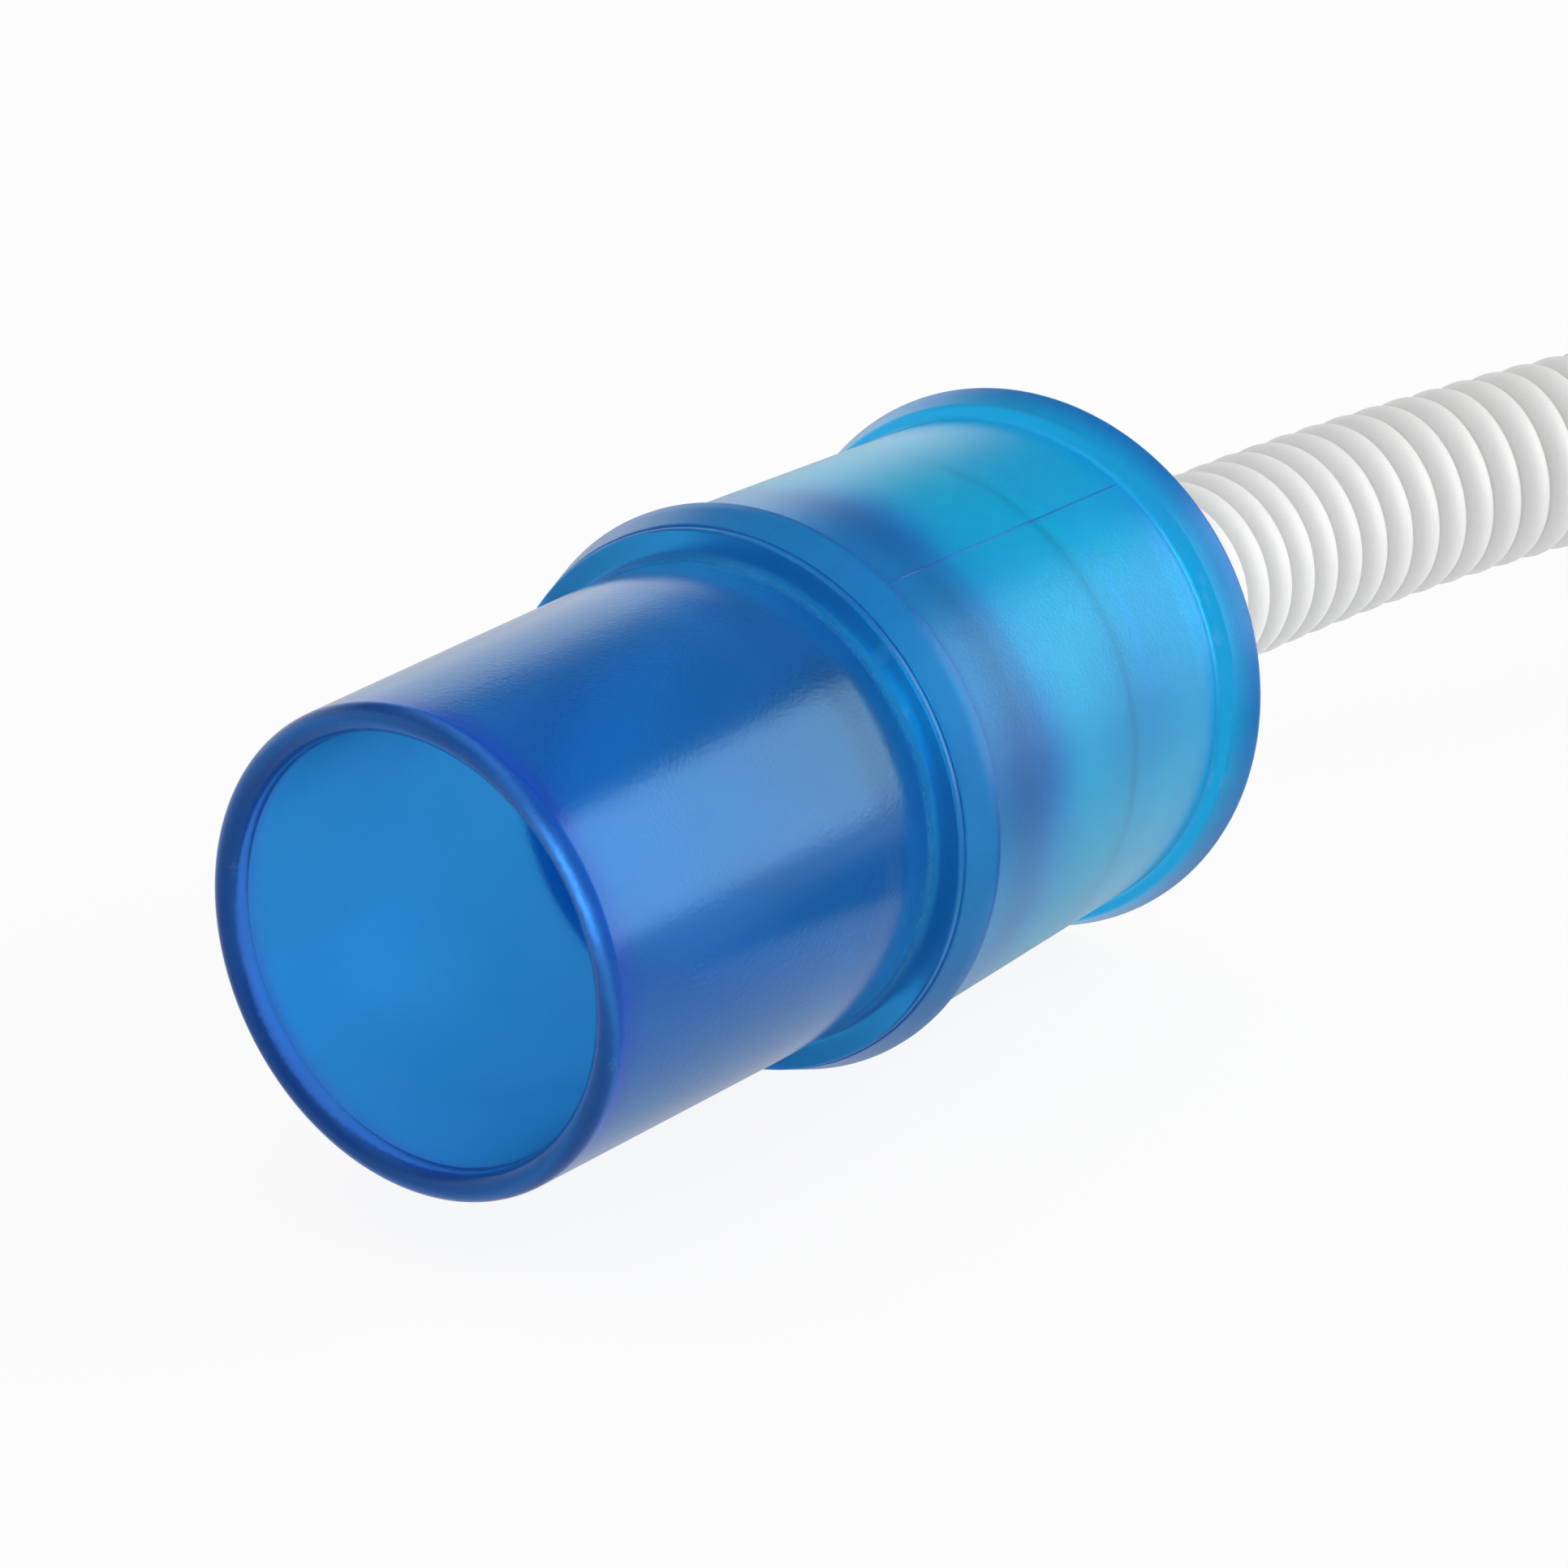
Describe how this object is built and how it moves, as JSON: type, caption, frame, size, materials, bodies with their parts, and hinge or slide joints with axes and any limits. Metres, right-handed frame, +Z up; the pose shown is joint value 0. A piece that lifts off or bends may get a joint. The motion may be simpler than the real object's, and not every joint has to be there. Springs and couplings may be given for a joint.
{
  "type": "saliva ejector",
  "caption": "Clear blue suction-line adaptor that swivels on a white ribbed hose, with a slotted pull-off mouth tip, for draining saliva during dental work.",
  "frame": {"origin": "on the surface that the ejector lies on, under the middle of the adaptor and its hose cuff", "axes": "+X along the adaptor's axis from the spigot's mouth towards the hose, +Z up, +Y to the left seen from the spigot's mouth along +X"},
  "size_m": [0.1693, 0.0482, 0.0205],
  "materials": {
    "clear_blue": "satin moulded, translucent",
    "white_cuff": "soft, matte",
    "white_hose": "matte"
  },
  "bodies": {
    "hose": {"hose_cuff": "white_cuff", "corrugated_hose": "white_hose", "tip_cuff": "white_cuff"},
    "adaptor": {"adaptor_body": "clear_blue"},
    "tip": {"tip_cap": "clear_blue"}
  },
  "joints": [
    {"name": "adaptor_swivel", "type": "hinge", "parent": "hose", "child": "adaptor", "pos_m": [0, 0, 0.01025], "axis": [1, 0, 0], "continuous": true},
    {"name": "tip_cap_pull", "type": "slide", "parent": "hose", "child": "tip", "axis": [1, 0, 0], "range_m": [0, 0.01]}
  ]
}
